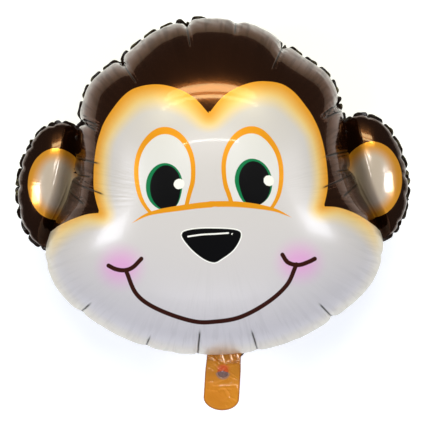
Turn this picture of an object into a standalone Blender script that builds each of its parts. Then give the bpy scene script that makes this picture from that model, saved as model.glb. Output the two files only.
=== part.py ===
"""Foil balloon in the shape of an ape's head, gas-filled and lying on its back, face up.

Three pieces: the sealed film envelope of the head and both ears, with its crimped seam; the
flat filling tail that is welded in at the chin; and the valve strip that runs inside the tail.
X runs across the head, Y from the chin to the crown, Z out of the face. The origin is the
middle of the flat spot that the back rests on.
"""

import math

import bmesh
import bpy
import numpy as np
from mathutils import Euler

# Head, measured between the seams
HEAD_WIDTH = 0.504
HEAD_HEIGHT = 0.501
HEAD_DEPTH = 0.270
REST_SPOT_RADIUS = 0.060

# Right half of the head's seam line, from crown to chin, as shares of the width and the height
HEAD_OUTLINE = (
    (0.000, 0.541),
    (0.146, 0.512),
    (0.256, 0.434),
    (0.345, 0.367),
    (0.377, 0.303),
    (0.393, 0.220),
    (0.403, 0.124),
    (0.432, 0.016),
    (0.482, -0.080),
    (0.500, -0.160),
    (0.468, -0.252),
    (0.393, -0.329),
    (0.258, -0.411),
    (0.123, -0.451),
    (0.000, -0.459),
)

# Ears, each an oval pillow that shares the head's seam plane
EAR_WIDTH = 0.112
EAR_HEIGHT = 0.190
EAR_DEPTH = 0.074
EAR_INSET = 0.014
EAR_OUT = HEAD_WIDTH / 2 - EAR_INSET
EAR_UP = 0.028
EAR_LEAN = 8.0

# Crimped seam round the films
SEAM_WIDTH = 0.006
SEAM_THICKNESS = 0.0008
CRIMP_LENGTH = 0.025
CRIMP_RISE = 0.003
CRIMP_FLARE = 1.6

# Puckers: bearings in degrees from +X for the head, an even ring of them for an ear
HEAD_PUCKERS = (11, 36, 63, 82, 99, 122, 148, 168, 199, 219, 244, 263, 285, 314, 340)
EAR_PUCKERS = 12
PUCKER_DEPTH = 0.006
PUCKER_WIDTH = 0.007
PUCKER_REACH = 45.0

# Slopes of the film, in degrees, at the mesh's rings from the seam to the middle
HEAD_SLOPES = (90, 78, 66, 54, 42, 30, 18, 8)
EAR_SLOPES = (90, 72, 54, 36, 18)

# Filling tail: a flat sleeve of two films with a narrower neck that enters the chin
TAIL_WIDTH = 0.054
TAIL_LENGTH = 0.080
TAIL_THICKNESS = 0.0026
TAIL_END_RISE = 0.019
TAIL_WELD_WIDTH = 0.0035
TAIL_WELD_STEP = 0.0006
NECK_WIDTH = 0.044
NECK_LENGTH = 0.026
NECK_THICKNESS = 0.0020
NECK_IN_TAIL = 0.006
TAIL_CLEAR_OF_SEAM = 0.004
TAIL_SIDE_OFFSET = 0.011
TAIL_LEAN = -5.0

# Valve strip and the round hole in the tail's front film that shows it
VALVE_WIDTH = 0.022
VALVE_THICKNESS = 0.0004
VALVE_PAST_HOLE = 0.006
FILL_HOLE_DIAMETER = 0.017
FILL_HOLE_DOWN = 0.022
CLEARANCE = 0.0003

ARC_STEPS = 24
CURVE_STEPS = 24


def clear_scene():
    """Start from an empty scene."""
    for old in list(bpy.data.objects):
        bpy.data.objects.remove(old, do_unlink=True)


def film_material(name, colour, roughness, metallic):
    """A plain film finish."""
    material = bpy.data.materials.new(name)
    material.use_nodes = True
    shader = material.node_tree.nodes["Principled BSDF"]
    shader.inputs["Base Color"].default_value = (*colour, 1.0)
    shader.inputs["Roughness"].default_value = roughness
    shader.inputs["Metallic"].default_value = metallic
    return material


def add_object(name, mesh, parent=None):
    """Link a mesh as a named object."""
    made = bpy.data.objects.new(name, mesh)
    bpy.context.scene.collection.objects.link(made)
    made.parent = parent
    return made


def make_guide(made):
    """Keep an object for a Boolean alone."""
    made.hide_render = True
    made.display_type = "WIRE"
    return made


def boolean(target, operation, tool):
    """Join or cut the target with another solid."""
    modifier = target.modifiers.new(f"{operation.lower()}_{tool.name}", "BOOLEAN")
    modifier.operation = operation
    modifier.solver = "EXACT"
    modifier.object = tool


def smooth_loop(points):
    """Dense closed curve through the points, by the Catmull-Rom formula."""
    corners = np.array(points)
    before, after, later = (np.roll(corners, shift, axis=0) for shift in (1, -1, -2))
    share = (np.arange(CURVE_STEPS) / CURVE_STEPS)[None, :, None]
    start, stop = corners[:, None], after[:, None]
    first, last = before[:, None], later[:, None]
    curve = 0.5 * (
        2 * start
        + (stop - first) * share
        + (2 * first - 5 * start + 4 * stop - last) * share**2
        + (3 * start - first - 3 * stop + last) * share**3
    )
    return curve.reshape(-1, 2)


def head_loop():
    """The head's seam line, anticlockwise."""
    right = [(x * HEAD_WIDTH, y * HEAD_HEIGHT) for x, y in HEAD_OUTLINE]
    left = [(-x, y) for x, y in right[1:-1]]
    clockwise = right + left[::-1]
    return smooth_loop(clockwise[::-1])


def ear_loop(side):
    """An ear's seam line about its own middle: an oval whose top leans to the head."""
    angles = np.arange(0, 2 * math.pi, math.pi / 36)
    x = np.cos(angles) * EAR_WIDTH / 2
    y = np.sin(angles) * EAR_HEIGHT / 2
    lean = math.radians(EAR_LEAN) * side
    return np.stack(
        [x * math.cos(lean) - y * math.sin(lean), x * math.sin(lean) + y * math.cos(lean)],
        axis=1,
    )


def seam_columns(loop, bearings):
    """Seam points at every half crimp between puckers, with each one's distance to a pucker.

    Crimps alternate: a pucker lies on a crest, so even columns are up and odd ones down.
    """
    closed = np.vstack([loop, loop[:1]])
    steps = np.linalg.norm(np.diff(closed, axis=0), axis=1)
    along = np.concatenate([[0], np.cumsum(steps)])
    turned = np.unwrap(np.arctan2(closed[:, 1], closed[:, 0]))
    wanted = np.radians(bearings)
    wanted = turned[0] + (wanted - turned[0]) % (2 * math.pi)
    stops = np.sort(np.interp(wanted, turned, along))
    total = along[-1]
    columns = []
    for start, stop in zip(stops, np.append(stops[1:], stops[0] + total)):
        halves = 2 * max(1, round((stop - start) / CRIMP_LENGTH))
        for step in range(halves):
            place = start + (stop - start) * step / halves
            gap = min(place - start, stop - place)
            at = place % total
            point = [np.interp(at, along, closed[:, axis]) for axis in (0, 1)]
            columns.append((np.array(point), gap, 1 if step % 2 == 0 else -1))
    return columns


def film_profile(slope):
    """Radius share and height share where an inflated film has this slope.

    A flat disc pair pumped up has radius sqrt(sin(slope)), and its height is the
    integral of half of that, counted down from the middle.
    """
    angles = np.linspace(0, math.pi / 2, 721)
    radius = np.sqrt(np.sin(angles))
    drop = np.concatenate([[0], np.cumsum((radius[1:] + radius[:-1]) / 2)])
    share = 1 - np.interp(math.radians(slope), angles, drop / drop[-1])
    return math.sqrt(math.sin(math.radians(slope))), share


def pillow(name, loop, bearings, slopes, depth, flat_radius=0, calm=None):
    """Closed film pillow: rings of two films from the seam to the middle, and the seam's band.

    calm tells for a seam point whether the crimps are pressed flat there.
    """
    columns = seam_columns(loop, bearings)
    count = len(columns)
    rests = flat_radius > 0
    points = []
    rings = []

    def add_ring(ring):
        rings.append(len(points))
        points.extend(ring)

    def film_ring(slope, side):
        radius, height = film_profile(slope)
        fade = max(0.0, (slope - PUCKER_REACH) / (90 - PUCKER_REACH))
        tilt = math.radians(slope)
        ring = []
        for point, gap, crest in columns:
            out = point / np.linalg.norm(point)
            tuck = PUCKER_DEPTH * math.exp(-gap / PUCKER_WIDTH) * fade
            spot = point * radius - out * tuck * math.sin(tilt)
            level = side * (depth / 2 * height - tuck * math.cos(tilt))
            if slope == 90:
                level = crimp(point, crest) + side * SEAM_THICKNESS / 2
            ring.append((*spot, level))
        return ring

    def crimp(point, crest):
        return 0.0 if calm and calm(point) else CRIMP_RISE * crest

    def band_ring(side):
        ring = []
        for point, gap, crest in columns:
            out = point / np.linalg.norm(point)
            tuck = PUCKER_DEPTH * math.exp(-gap / PUCKER_WIDTH)
            spot = point + out * (SEAM_WIDTH - tuck)
            ring.append((*spot, crimp(point, crest) * CRIMP_FLARE + side * SEAM_THICKNESS / 2))
        return ring

    def flat_ring(level):
        outs = [point / np.linalg.norm(point) for point, _, _ in columns]
        return [(*(out * flat_radius), level) for out in outs]

    for slope in reversed(slopes):
        add_ring(film_ring(slope, 1))
    add_ring(band_ring(1))
    add_ring(band_ring(-1))
    for slope in slopes:
        add_ring(film_ring(slope, -1))
    if rests:
        add_ring(flat_ring(-depth / 2))

    faces = []
    for upper, lower in zip(rings, rings[1:]):
        for step in range(count):
            after = (step + 1) % count
            faces.append((upper + step, lower + step, lower + after, upper + after))
    top = len(points)
    points.append((0, 0, depth / 2))
    faces += [(top, rings[0] + step, rings[0] + (step + 1) % count) for step in range(count)]
    last = rings[-1]
    if rests:
        faces.append(tuple(last + step for step in reversed(range(count))))
    else:
        bottom = len(points)
        points.append((0, 0, -depth / 2))
        faces += [(bottom, last + (step + 1) % count, last + step) for step in range(count)]

    mesh = bpy.data.meshes.new(name)
    mesh.from_pydata([tuple(map(float, point)) for point in points], [], faces)
    split_to_triangles(mesh)
    return mesh


def split_to_triangles(mesh):
    """Flat triangles alone, because a Boolean reads a warped quad wrongly."""
    shape = bmesh.new()
    shape.from_mesh(mesh)
    bmesh.ops.triangulate(shape, faces=shape.faces)
    shape.to_mesh(mesh)
    shape.free()


def prism(name, outline, low, high):
    """A flat plate: an outline in XY between two levels."""
    shape = bmesh.new()
    base = shape.faces.new([shape.verts.new((x, y, low)) for x, y in outline])
    grown = bmesh.ops.extrude_face_region(shape, geom=[base])
    moved = [item for item in grown["geom"] if isinstance(item, bmesh.types.BMVert)]
    bmesh.ops.translate(shape, verts=moved, vec=(0, 0, high - low))
    bmesh.ops.recalc_face_normals(shape, faces=shape.faces)
    mesh = bpy.data.meshes.new(name)
    shape.to_mesh(mesh)
    shape.free()
    return mesh


def box_outline(width, top, bottom):
    """Corners of a rectangle centred on the Y axis."""
    return [(-width / 2, bottom), (width / 2, bottom), (width / 2, top), (-width / 2, top)]


def tongue_outline(width, top, bottom, end_rise):
    """A strip with a square top and a half-oval lower end."""
    angles = [math.pi * (1 + step / ARC_STEPS) for step in range(ARC_STEPS + 1)]
    end = [(math.cos(a) * width / 2, bottom + end_rise * (1 + math.sin(a))) for a in angles]
    return end + [(width / 2, top), (-width / 2, top)]


def chin_edge(side_offset):
    """How far the seam lies below the head's middle at this X."""
    loop = head_loop()
    low = loop[loop[:, 1] < 0]
    order = np.argsort(low[:, 0])
    return float(np.interp(side_offset, low[order, 0], low[order, 1]))


def build_envelope(frame):
    """Head and ears as one sealed body, with a pocket in the chin for the tail's neck.

    The crimps are pressed flat where the bands of head and ears cross, so that no sliver of
    space is sealed in between them.
    """

    def at_joint(point):
        at_tail = abs(point[0] - TAIL_SIDE_OFFSET) < TAIL_WIDTH / 2 + CRIMP_LENGTH / 2
        at_ear = abs(point[1] - EAR_UP) < EAR_HEIGHT / 2 + CRIMP_LENGTH / 2
        return (at_tail and point[1] < 0) or at_ear

    head = pillow(
        "foil_envelope",
        head_loop(),
        HEAD_PUCKERS,
        HEAD_SLOPES,
        HEAD_DEPTH,
        REST_SPOT_RADIUS,
        at_joint,
    )
    envelope = add_object("foil_envelope", head, frame)
    envelope.data.materials.append(film_material("printed_film", (0.055, 0.022, 0.010), 0.25, 0.3))
    for side, label in ((1, "right"), (-1, "left")):

        def at_head(point, side=side):
            return point[0] * side < EAR_WIDTH / 4

        bearings = [360 / EAR_PUCKERS * step for step in range(EAR_PUCKERS)]
        name = f"ear_form_{label}"
        form = pillow(name, ear_loop(side), bearings, EAR_SLOPES, EAR_DEPTH, calm=at_head)
        ear = make_guide(add_object(name, form, frame))
        ear.location = (side * EAR_OUT, EAR_UP, 0)
        boolean(envelope, "UNION", ear)
    return envelope


def build_tail(frame, envelope):
    """The flat sleeve below the chin: welded border, raised middle, neck, channel and hole."""
    tail_top = -TAIL_CLEAR_OF_SEAM - SEAM_WIDTH
    tail_bottom = tail_top - TAIL_LENGTH
    neck_top = tail_top - NECK_IN_TAIL + NECK_LENGTH
    hole_y = tail_top - FILL_HOLE_DOWN
    valve_bottom = hole_y - FILL_HOLE_DIAMETER / 2 - VALVE_PAST_HOLE
    half = TAIL_THICKNESS / 2
    weld_half = half - TAIL_WELD_STEP

    hinge = bpy.data.objects.new("tail_root", None)
    bpy.context.scene.collection.objects.link(hinge)
    hinge.parent = frame
    hinge.location = (TAIL_SIDE_OFFSET, chin_edge(TAIL_SIDE_OFFSET), 0)
    hinge.rotation_euler = Euler((0, 0, math.radians(TAIL_LEAN)))

    border = tongue_outline(TAIL_WIDTH, tail_top, tail_bottom, TAIL_END_RISE)
    tail = add_object("filling_tail", prism("filling_tail", border, -weld_half, weld_half), hinge)
    tail.data.materials.append(film_material("tail_film", (0.72, 0.30, 0.03), 0.3, 0.2))

    inner = tongue_outline(
        TAIL_WIDTH - 2 * TAIL_WELD_WIDTH,
        tail_top - TAIL_WELD_WIDTH,
        tail_bottom + TAIL_WELD_WIDTH,
        TAIL_END_RISE,
    )
    sleeve = make_guide(add_object("sleeve_form", prism("sleeve_form", inner, -half, half), hinge))
    boolean(tail, "UNION", sleeve)

    neck_half = NECK_THICKNESS / 2
    neck_shape = box_outline(NECK_WIDTH, neck_top, tail_top - NECK_IN_TAIL)
    neck_mesh = prism("neck_form", neck_shape, -neck_half, neck_half)
    neck = make_guide(add_object("neck_form", neck_mesh, hinge))
    boolean(tail, "UNION", neck)

    room = VALVE_THICKNESS / 2 + CLEARANCE
    channel_shape = box_outline(
        VALVE_WIDTH + 2 * CLEARANCE, neck_top + SEAM_WIDTH, valve_bottom - CLEARANCE
    )
    channel = make_guide(add_object("channel", prism("channel", channel_shape, -room, room), hinge))
    boolean(tail, "DIFFERENCE", channel)

    turns = [2 * math.pi * step / ARC_STEPS for step in range(ARC_STEPS)]
    round_hole = [
        (math.cos(a) * FILL_HOLE_DIAMETER / 2, hole_y + math.sin(a) * FILL_HOLE_DIAMETER / 2)
        for a in turns
    ]
    hole = make_guide(add_object("fill_hole", prism("fill_hole", round_hole, 0, TAIL_THICKNESS), hinge))
    boolean(tail, "DIFFERENCE", hole)

    pocket_shape = box_outline(
        NECK_WIDTH + 2 * CLEARANCE, neck_top + CLEARANCE, tail_top + TAIL_CLEAR_OF_SEAM / 2
    )
    pocket_half = neck_half + CLEARANCE
    pocket = prism("chin_pocket", pocket_shape, -pocket_half, pocket_half)
    boolean(envelope, "DIFFERENCE", make_guide(add_object("chin_pocket", pocket, hinge)))

    strip_shape = box_outline(VALVE_WIDTH, neck_top, valve_bottom)
    strip = prism("valve_strip", strip_shape, -VALVE_THICKNESS / 2, VALVE_THICKNESS / 2)
    valve = add_object("valve_strip", strip, hinge)
    valve.data.materials.append(film_material("valve_film", (0.50, 0.25, 0.20), 0.2, 0.1))
    return tail, valve


def main():
    clear_scene()
    frame = bpy.data.objects.new("balloon", None)
    bpy.context.scene.collection.objects.link(frame)
    frame.location = (0, 0, HEAD_DEPTH / 2)
    envelope = build_envelope(frame)
    build_tail(frame, envelope)


main()
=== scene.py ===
import math

import bpy
import bmesh
import numpy as np
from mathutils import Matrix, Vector, geometry


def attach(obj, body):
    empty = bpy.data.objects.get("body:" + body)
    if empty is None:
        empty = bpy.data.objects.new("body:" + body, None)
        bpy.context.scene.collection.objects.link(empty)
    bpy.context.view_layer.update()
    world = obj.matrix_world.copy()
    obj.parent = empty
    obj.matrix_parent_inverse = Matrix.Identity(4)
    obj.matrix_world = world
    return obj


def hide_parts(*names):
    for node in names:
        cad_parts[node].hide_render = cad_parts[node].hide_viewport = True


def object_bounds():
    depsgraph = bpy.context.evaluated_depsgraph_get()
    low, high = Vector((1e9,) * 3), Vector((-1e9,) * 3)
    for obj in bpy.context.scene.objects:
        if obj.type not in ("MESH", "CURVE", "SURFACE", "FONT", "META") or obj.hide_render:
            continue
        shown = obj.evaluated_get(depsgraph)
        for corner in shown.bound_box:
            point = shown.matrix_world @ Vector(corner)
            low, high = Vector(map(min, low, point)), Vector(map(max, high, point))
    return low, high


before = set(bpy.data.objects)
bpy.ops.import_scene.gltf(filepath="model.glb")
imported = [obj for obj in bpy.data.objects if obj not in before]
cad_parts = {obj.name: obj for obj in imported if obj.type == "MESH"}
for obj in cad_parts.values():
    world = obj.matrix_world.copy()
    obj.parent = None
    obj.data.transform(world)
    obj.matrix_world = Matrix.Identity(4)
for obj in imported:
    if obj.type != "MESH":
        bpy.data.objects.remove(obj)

CAD_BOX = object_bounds()

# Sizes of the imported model, in metres, with the seam half way up the head
HEAD_WIDTH = 0.504
HEAD_HEIGHT = 0.501
HEAD_HALF_DEPTH = (CAD_BOX[1].z - CAD_BOX[0].z) / 2
SEAM_LEVEL = CAD_BOX[0].z + HEAD_HALF_DEPTH
HEAD_OUTLINE = (
    (0.000, 0.541),
    (0.146, 0.512),
    (0.256, 0.434),
    (0.345, 0.367),
    (0.377, 0.303),
    (0.393, 0.220),
    (0.403, 0.124),
    (0.432, 0.016),
    (0.482, -0.080),
    (0.500, -0.160),
    (0.468, -0.252),
    (0.393, -0.329),
    (0.258, -0.411),
    (0.123, -0.451),
    (0.000, -0.459),
)
EAR_WIDTH = 0.112
EAR_HEIGHT = 0.190
EAR_HALF_DEPTH = 0.037
EAR_OUT = 0.238
EAR_UP = 0.028
EAR_LEAN = 8.0
SEAM_WIDTH = 0.006
SEAM_THICKNESS = 0.0007

# Tucks round the head and the ears: bearing in degrees from +X, share of the depth, slit's length
HEAD_TUCKS = (
    (11, 0.5, 0.014),
    (36, 0.8, 0.024),
    (64, 1.0, 0.035),
    (81, 0.5, 0.012),
    (97, 0.9, 0.030),
    (122, 1.0, 0.036),
    (148, 0.8, 0.020),
    (168, 0.6, 0.018),
    (199, 0.25, 0.0),
    (219, 0.35, 0.010),
    (244, 0.25, 0.007),
    (263, 0.3, 0.024),
    (285, 0.3, 0.020),
    (314, 0.35, 0.019),
    (340, 0.25, 0.0),
)
EAR_TUCKS = tuple((bearing, 1.0, 0.0) for bearing in range(0, 360, 30))
HEAD_TUCK_DEPTH = 0.004
EAR_TUCK_DEPTH = 0.0012
TUCK_FROM = math.radians(46)
TUCK_SPAN = math.radians(34)
TUCK_GATHER = 0.0065
TUCK_PULL = 0.6
TUCK_WIDTH = 0.0028
HEAD_LIP = 0.005
EAR_LIP = 0.0015
LIP_TURN = 0.17

# Fine pleats fade out over this share of the half depth, longer round these bearings
PLEAT_FADE = 0.62
PLEAT_LONG = (8, 172, 262, 286)
PLEAT_LONG_SPAN = 14
PLEAT_LONG_SHARE = 0.7
PLEAT_STRETCH = 9
PLEAT_SCALE = 150.0
PLEAT_FALL = 1.2
# Pleat noise below these values marks the valleys that get painted shade
PLEAT_VALLEYS = (0.38, 0.52)
SEAM_WAVE = 0.026
SEAM_WAVE_RISE = 0.002

# The ears' films sink to the seam near the head's weld, with a ridge and a fold low beside it
SINK_FROM = 0.005
SINK_SPAN = 0.022
SINK_LEAST = 0.06
RIDGE_HEIGHT = 0.004
RIDGE_OUT = 0.013
RIDGE_WIDTH = 0.0035
RIDGE_TOP = 0.035
RIDGE_BOTTOM = -0.050
RIDGE_FADE = 0.02
RIDGE_LEAST_RISE = 0.006
FOLD_HEIGHT = 0.0009
FOLD_WIDTH = 0.0013

# Slopes between which the fine folds are smoothed away, and how often
SMOOTH_FROM = math.radians(66)
SMOOTH_SPAN = math.radians(28)
SMOOTH_ROUNDS = 40

# Welded flange: folded back behind the lip, or standing past it in tabs
SEAM_FOLDED_WIDTH = 0.0015
SEAM_FOLD_DROP = 0.004
TAB_LENGTH = 0.026
TAB_NOTCH = 0.10
TAB_NOTCH_DEPTH = 0.75
SEAM_STATIONS = (-0.3, 0.0, 0.35, 0.7, 1.0)
TAB_REACH = 0.0035
TAB_CURL = 0.0008
HEAD_TAB_ZONES = ((92, 168), (22, 62))
ZONE_FADE = 5.0

# Printed face, in metres on the sheet that the camera sees: places from the head's middle
FACE_ACROSS = -0.003
FACE_UPPER = (
    (0.000, 0.131),
    (0.019, 0.153),
    (0.041, 0.168),
    (0.067, 0.177),
    (0.092, 0.177),
    (0.118, 0.170),
    (0.141, 0.152),
    (0.160, 0.124),
    (0.172, 0.090),
    (0.177, 0.055),
    (0.178, 0.020),
    (0.172, -0.015),
)
FACE_CHEEK = (
    (0.172, -0.015),
    (0.191, -0.0165),
    (0.209, -0.022),
    (0.224, -0.0295),
    (0.237, -0.039),
    (0.249, -0.051),
    (0.264, -0.073),
    (0.330, -0.185),
)
FACE_FOOT = (0.33, -0.5)
EYES = ((-0.072, 0.048), (0.061, 0.045))
EYE_RIM = (0.0465, 0.064, 0.082)
EYE_WHITE = (0.0395, 0.053, 0.078)
IRISES = ((-0.0725, 0.021), (0.0615, 0.024))
IRIS_SIZE = (0.0275, 0.036, 0.036)
PUPILS = ((-0.0705, 0.0195), (0.063, 0.022))
PUPIL_SIZE = (0.0232, 0.034, 0.034)
GLINTS = ((-0.050, 0.024), (0.084, 0.025))
GLINT_SIZE = (0.008, 0.008, 0.008)
MUZZLE_LINE = (
    (-0.127, -0.033),
    (-0.098, -0.019),
    (-0.050, -0.012),
    (0.003, -0.008),
    (0.048, -0.010),
    (0.092, -0.018),
    (0.121, -0.031),
)
NOSE = (
    (-0.049, -0.053),
    (-0.036, -0.046),
    (-0.003, -0.044),
    (0.034, -0.048),
    (0.041, -0.057),
    (0.030, -0.077),
    (0.011, -0.091),
    (-0.001, -0.096),
    (-0.018, -0.089),
    (-0.037, -0.072),
)
NOSE_SHINE = ((-0.039, -0.056), (-0.014, -0.053), (0.021, -0.052))
NOSE_DOT = (0.028, -0.054)
SMILE = (
    (-0.135, -0.107),
    (-0.119, -0.143),
    (-0.088, -0.166),
    (-0.037, -0.185),
    (-0.002, -0.187),
    (0.039, -0.181),
    (0.082, -0.159),
    (0.110, -0.134),
    (0.124, -0.106),
)
CHEEK_LINES = (
    ((-0.163, -0.098), (-0.152, -0.1035), (-0.138, -0.1055), (-0.125, -0.1013), (-0.112, -0.089)),
    ((0.104, -0.088), (0.112, -0.100), (0.128, -0.1045), (0.144, -0.1005), (0.156, -0.095)),
)
BLUSH = ((-0.144, -0.100), (0.130, -0.100))
BLUSH_SIZE = (0.048, 0.044, 0.044)
# Painted shade: a beige tint on the chin round the tail's root
TAIL_PAINTED_SHADE = ((0.012, -0.236), (0.036, 0.026, 0.026))
EAR_GOLD = {
    -1: ((-0.238, 0.030), (0.044, 0.057, 0.057)),
    1: ((0.243, 0.024), (0.046, 0.060, 0.060)),
}

# Sharp creases that spread from where the head's film meets the left ear, mirrored on the right
CREASES = (
    ((-0.216, 0.036), (-0.196, 0.025), (-0.172, 0.015)),
    ((-0.214, 0.018), (-0.208, 0.009), (-0.201, 0.002)),
    ((-0.204, 0.068), (-0.192, 0.065), (-0.178, 0.061)),
    ((-0.200, 0.128), (-0.188, 0.125), (-0.177, 0.120)),
)
CREASE_DEPTH = 0.0012
CREASE_WIDTH = 0.0016
CREASE_ZONE = 0.006
CREASE_STEEP = 4
CREASE_BESIDE = (0.0045, 0.6)
# Slits down the creases are drawn near black and matt: painted shade
SLIT_WIDTH = 0.0014
SLIT_PAST = 0.01

# Soft zones of the print, each given by where it starts and how far it takes
CHEEK_ZONE_OUT = (0.165, 0.03)
CHEEK_ZONE_DOWN = (0.01, 0.02)
BROW_ZONE = (0.09, 0.05)
BORDER_WIDTH = 0.030
BORDER_AT_BROW = 0.016
BORDER_AT_CHEEK = 0.012
BORDER_CHEEK_FADE = 0.25
MIDDLE_ZONE = 0.04
MIDDLE_PUSH = 0.3
STROKE_RUN = 0.3
DOT_SIZE = (0.0018, 0.0018, 0.0018)

MUZZLE_LINE_WIDTH = 0.009
SHINE_WIDTH = 0.0024
NOSE_RIM_WIDTH = 0.0022
MOUTH_WIDTH = 0.0066
SMILE_LENGTH = 0.330
CHEEK_LENGTH = 0.059
SHINE_LENGTH = 0.061

# Filling tail, about its root on the chin's seam; folds are line ends and a height
TAIL_ROOT = (0.011, -0.22994)
TAIL_LEAN = -5.0
TAIL_WIDTH = 0.054
TAIL_LENGTH = 0.080
TAIL_TOP = -0.010
TAIL_TUCK = 0.006
TAIL_END_RISE = 0.019
TAIL_WELD_WIDTH = 0.0035
TAIL_COLUMNS = 320
TAIL_SWAY = 0.0012
TAIL_FOLD_WIDTH = 0.0020
TAIL_FINE_FOLDS = 26
TAIL_FINE_HEIGHT = 0.0005
TAIL_FINE_WIDTH = 0.0013
TAIL_FOLDS = (
    (-0.013, -0.0545, 0.021, -0.0513, 0.0007),
    (0.021, -0.0513, 0.0245, -0.060, 0.0006),
    (-0.024, -0.076, -0.006, -0.085, 0.0006),
    (-0.016, -0.021, -0.003, -0.031, 0.0010),
    (-0.026, -0.012, -0.004, -0.017, 0.0028),
    (-0.019, -0.006, -0.007, -0.020, 0.0030),
    (0.006, -0.0185, 0.027, -0.0150, 0.0030),
    (-0.006, -0.004, -0.001, -0.018, 0.0026),
    (0.008, -0.004, 0.012, -0.017, 0.0026),
    (0.018, -0.006, 0.024, -0.016, 0.0026),
    (0.004, -0.060, 0.020, -0.083, 0.0004),
    (-0.010, -0.050, 0.008, -0.042, 0.0005),
)
FILL_HOLE_UP = -0.032
FILL_HOLE_RADIUS = 0.0085
VALVE_WIDTH = 0.022
VALVE_THICKNESS = 0.0004
VALVE_TOP = -0.020
VALVE_BOTTOM = -0.044

# Simulation of the inflated films
HEAD_CELL = 0.0075
EAR_CELL = 0.0045
SECTION_STEPS = 721
SECTION_DEPTH = 0.6
SEAM_RADII = (0.02, 0.40)
LATTICE_REACH = 0.45
LATTICE_GAP = 0.6
START_JITTER = 0.0003
FILM_FRAMES = 20
FILM_QUALITY = 6
FILM_MASS = 0.05
FILM_DAMPING = 2.0
FILM_STIFFNESS = 60
FILM_BENDING = 0.003
GAS_PRESSURE = 20
REST_PRESS = 1.02
REST_GAP = 0.0003

# The photograph's camera looks straight down, a little rolled
PHOTO_PIXELS = 430
METRES_PER_PIXEL = 0.001519
CAMERA_HEIGHT = 2.5
CAMERA_ROLL = math.radians(-1.5)
FRAME_MIDDLE = (0.003, -0.0228)


# Curves


def smooth_curve(corners, closed, steps=24):
    """Catmull-Rom curve: cubic spans that pass each corner along its neighbours' line."""
    corners = np.asarray(corners, float)
    if not closed:
        first = 2 * corners[0] - corners[1]
        last = 2 * corners[-1] - corners[-2]
        corners = np.vstack([first, corners, last])
    before, after, later = (np.roll(corners, shift, axis=0) for shift in (1, -1, -2))
    share = (np.arange(steps) / steps)[None, :, None]
    start, stop, first, last = (item[:, None] for item in (corners, after, before, later))
    curve = 0.5 * (
        2 * start
        + (stop - first) * share
        + (2 * first - 5 * start + 4 * stop - last) * share**2
        + (3 * start - first - 3 * stop + last) * share**3
    )
    if closed:
        return curve.reshape(-1, corners.shape[1])
    return np.vstack([curve[1:-2].reshape(-1, corners.shape[1]), corners[-2]])


def polar(places):
    """Bearing and distance of each place from the middle."""
    return np.arctan2(places[:, 1], places[:, 0]), np.hypot(places[:, 0], places[:, 1])


def seam_reach(seam, bearing):
    """Radius of a seam line at each bearing."""
    return np.interp(bearing, *seam, period=2 * math.pi)


def head_seam():
    """Bearings and radii of the head's seam line."""
    right = [(x * HEAD_WIDTH, y * HEAD_HEIGHT) for x, y in HEAD_OUTLINE]
    left = [(-x, y) for x, y in right[1:-1]]
    bearing, reach = polar(smooth_curve((right + left[::-1])[::-1], closed=True))
    return np.unwrap(bearing), reach


def ear_seam(side):
    """Bearings and radii of an ear's seam line: an oval that leans to the head at its top."""
    turn = np.linspace(-math.pi, math.pi, 240, endpoint=False)
    x = np.cos(turn) * EAR_WIDTH / 2
    y = np.sin(turn) * EAR_HEIGHT / 2
    bearing = np.unwrap(np.arctan2(y, x)) + math.radians(EAR_LEAN) * side
    return bearing, np.hypot(x, y)


# Inflated films


def film_section():
    """Slope, radius share, height share and arc share of an inflated film, from the middle out.

    Where a flat disc pair that is pumped up has the slope a, its radius share is the root of
    sin(a), and its height has fallen by the integral of half of that.
    """
    slope = np.linspace(0, math.pi / 2, SECTION_STEPS)
    radius = np.sqrt(np.sin(slope))
    drop = np.concatenate([[0], np.cumsum((radius[1:] + radius[:-1]) / 2)])
    height = 1 - drop / drop[-1]
    steps = np.hypot(np.diff(radius), np.diff(height) * SECTION_DEPTH)
    arc = np.concatenate([[0], np.cumsum(steps)])
    return slope, radius, height, arc


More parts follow.
